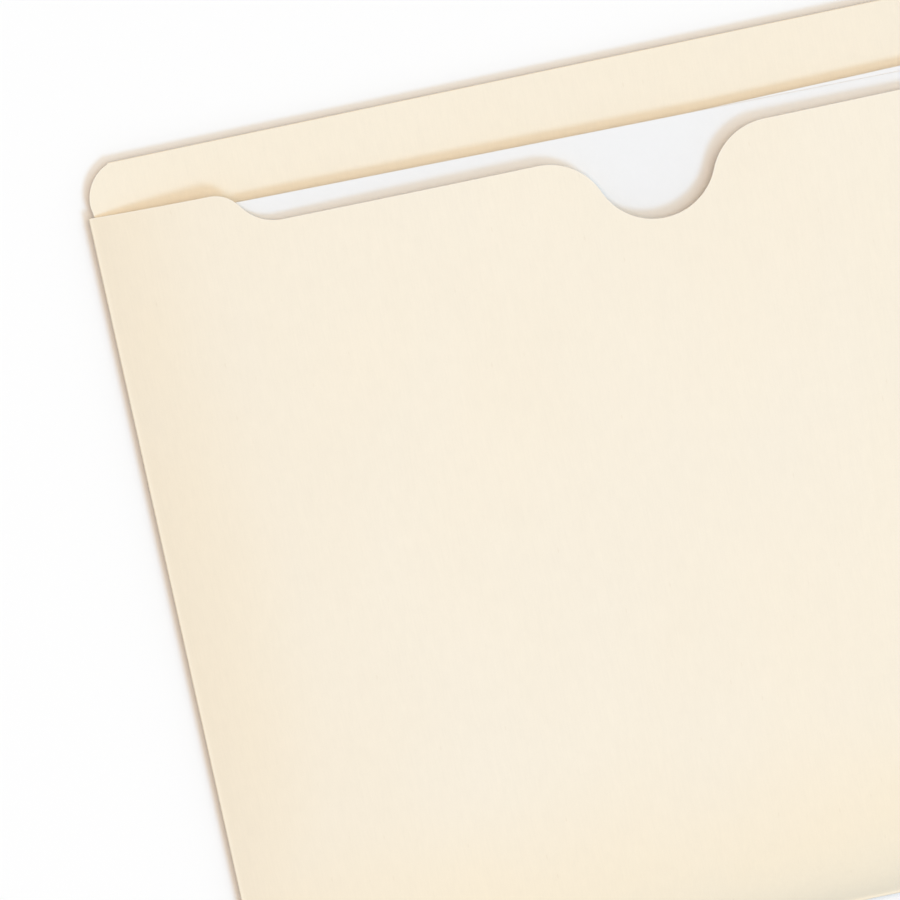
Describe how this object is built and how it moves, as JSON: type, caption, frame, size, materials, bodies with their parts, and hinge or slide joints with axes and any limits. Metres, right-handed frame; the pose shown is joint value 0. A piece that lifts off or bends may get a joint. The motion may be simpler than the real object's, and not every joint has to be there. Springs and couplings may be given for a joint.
{
  "type": "file jacket",
  "caption": "Flat manila file jacket with a reinforced full-width tab, a thumb cut in the front panel and documents that slide out of its mouth.",
  "frame": {"origin": "middle of the jacket's footprint, on the outer face of the back panel", "axes": "+X across the jacket, +Y from the bottom crease towards the tab, +Z out of the front panel"},
  "size_m": [0.2984, 0.2414, 0.0101],
  "materials": {
    "manila_board": "uncoated manila board, matte, with a faint grain",
    "manila_crease": "uncoated manila board, pressed smooth along the crease",
    "white_paper": "white office paper, matte",
    "dry_glue": "thin dry glue line"
  },
  "bodies": {
    "jacket": {"back_panel": "manila_board", "tab_reinforcement": "manila_board", "tab_glue": "dry_glue", "tab_crease": "manila_crease", "left_side_flap": "manila_board", "right_side_flap": "manila_board", "left_side_glue": "dry_glue", "right_side_glue": "dry_glue", "left_side_crease": "manila_crease", "right_side_crease": "manila_crease", "bottom_crease": "manila_crease", "front_panel": "manila_board"},
    "rear_document_body": {"rear_document": "white_paper"},
    "front_document_body": {"front_document": "white_paper"}
  },
  "joints": [
    {"name": "rear_document_slide", "type": "slide", "parent": "jacket", "child": "rear_document_body", "axis": [0, 1, 0.0051], "range_m": [0, 0.225]},
    {"name": "front_document_slide", "type": "slide", "parent": "jacket", "child": "front_document_body", "axis": [0, 1, 0.0051], "range_m": [0, 0.225]}
  ]
}
